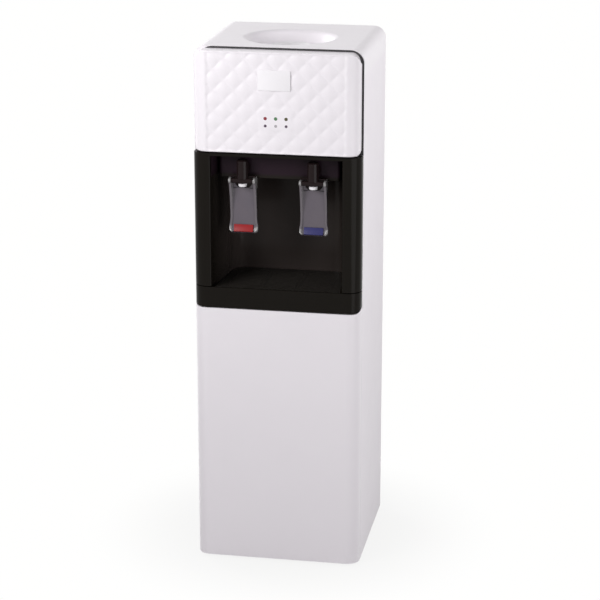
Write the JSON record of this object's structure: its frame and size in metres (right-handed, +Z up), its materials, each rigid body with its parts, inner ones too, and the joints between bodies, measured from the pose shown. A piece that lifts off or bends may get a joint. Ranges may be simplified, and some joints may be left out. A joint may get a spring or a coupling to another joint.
{
  "type": "water dispenser",
  "caption": "Floor-standing hot and cold water dispenser with a bottle dish on top, a quilted upper front, push-lever taps in a black bay and a drip tray.",
  "frame": {"origin": "on the floor, under the middle of the overall box", "axes": "+Z up, the front faces -Y, +X to the right as seen from the front"},
  "size_m": [0.31, 0.3296, 0.98],
  "materials": {
    "shell_white": "moulded gloss white",
    "panel_white": "white powder coat",
    "bay_black": "moulded gloss black",
    "grille_black": "moulded black",
    "tap_black": "moulded black",
    "lever_smoke": "smoky grey moulding",
    "tab_red": "red moulding",
    "tab_blue": "blue moulding",
    "lamp_red": "red lens",
    "lamp_green": "green lens",
    "lamp_amber": "amber lens",
    "steel": "stainless",
    "zinc": "zinc plated sheet",
    "black_paint": "black enamel",
    "copper": "copper tube",
    "foam": "closed-cell foam",
    "rubber": "black rubber",
    "silicone": "clear silicone",
    "board": "circuit board",
    "nozzle_white": "white moulding",
    "inner_white": "food-grade white",
    "switch_black": "black moulding",
    "rocker_red": "red moulding",
    "rocker_green": "green moulding"
  },
  "bodies": {
    "cabinet": {"base_plate": "zinc", "feet": "rubber", "left_side_panel": "panel_white", "right_side_panel": "panel_white", "back_panel": "panel_white", "lower_front_panel": "shell_white", "upper_front_panel": "shell_white", "red_lamp": "lamp_red", "green_lamp": "lamp_green", "amber_lamp": "lamp_amber", "indicator_board": "board", "bay_housing": "bay_black", "top_cover": "shell_white", "tank_shelf": "zinc", "cold_tank": "steel", "tank_lid": "inner_white", "collar_seal": "silicone", "tank_baffle": "inner_white", "evaporator": "copper", "left_foam_shell": "foam", "right_foam_shell": "foam", "hot_tank": "steel", "heater_band": "steel", "hot_jacket": "foam", "hot_bracket": "zinc", "compressor_grommets": "rubber", "compressor": "black_paint", "cold_hose": "silicone", "hot_hose": "silicone", "feed_hose": "silicone", "drain_hose": "silicone", "refrigerant_pipes": "copper", "condenser": "black_paint", "condenser_clips": "switch_black", "hot_switch_body": "switch_black", "cold_switch_body": "switch_black", "drain_outlet": "inner_white", "cord_gland": "switch_black", "hot_tap_body": "tap_black", "hot_tap_bonnet": "tap_black", "hot_tap_nozzle": "nozzle_white", "hot_tap_nut": "tap_black", "hot_valve_spring": "steel", "cold_tap_body": "tap_black", "cold_tap_bonnet": "tap_black", "cold_tap_nozzle": "nozzle_white", "cold_tap_nut": "tap_black", "cold_valve_spring": "steel"},
    "hot_lever": {"hot_lever": "lever_smoke", "hot_lever_tab": "tab_red"},
    "cold_lever": {"cold_lever": "lever_smoke", "cold_lever_tab": "tab_blue"},
    "hot_valve": {"hot_valve_stem": "nozzle_white"},
    "cold_valve": {"cold_valve_stem": "nozzle_white"},
    "drip_tray": {"drip_tray": "bay_black"},
    "drip_grille": {"drip_grille": "grille_black"},
    "bottle_collar": {"bottle_collar": "inner_white"},
    "hot_switch": {"hot_switch_rocker": "rocker_red"},
    "cold_switch": {"cold_switch_rocker": "rocker_green"},
    "drain_cap": {"drain_cap": "switch_black"}
  },
  "joints": [
    {"name": "hot_lever_hinge", "type": "hinge", "parent": "cabinet", "child": "hot_lever", "pos_m": [-0.065, -0.15085, 0.738], "axis": [1, 0, 0], "range_deg": [0, 20], "stiffness_Nm_per_rad": 0.5},
    {"name": "cold_lever_hinge", "type": "hinge", "parent": "cabinet", "child": "cold_lever", "pos_m": [0.065, -0.15085, 0.738], "axis": [1, 0, 0], "range_deg": [0, 20], "stiffness_Nm_per_rad": 0.5},
    {"name": "hot_valve_slide", "type": "slide", "parent": "cabinet", "child": "hot_valve", "axis": [0, 0, 1], "range_m": [0, 0.0027], "deforming": ["hot_valve_spring"]},
    {"name": "cold_valve_slide", "type": "slide", "parent": "cabinet", "child": "cold_valve", "axis": [0, 0, 1], "range_m": [0, 0.0027], "deforming": ["cold_valve_spring"]},
    {"name": "tray_slide", "type": "slide", "parent": "cabinet", "child": "drip_tray", "axis": [0, -1, 0], "range_m": [0, 0.12]},
    {"name": "grille_lift", "type": "slide", "parent": "drip_tray", "child": "drip_grille", "axis": [0, 0, 1], "range_m": [0, 0.04]},
    {"name": "collar_lift", "type": "slide", "parent": "cabinet", "child": "bottle_collar", "axis": [0, 0, 1], "range_m": [0, 0.1]},
    {"name": "hot_switch_rock", "type": "hinge", "parent": "cabinet", "child": "hot_switch", "pos_m": [0.084, 0.13315, 0.65], "axis": [1, 0, 0], "range_deg": [0, 16]},
    {"name": "cold_switch_rock", "type": "hinge", "parent": "cabinet", "child": "cold_switch", "pos_m": [0.116, 0.13315, 0.65], "axis": [1, 0, 0], "range_deg": [0, 16]},
    {"name": "drain_cap_pull", "type": "slide", "parent": "cabinet", "child": "drain_cap", "axis": [0, 1, 0], "range_m": [0, 0.03]}
  ],
  "couplings": [
    {"joint": "hot_valve_slide", "follows": "hot_lever_hinge", "m_per_rad": 0.007451},
    {"joint": "cold_valve_slide", "follows": "cold_lever_hinge", "m_per_rad": 0.007451}
  ]
}
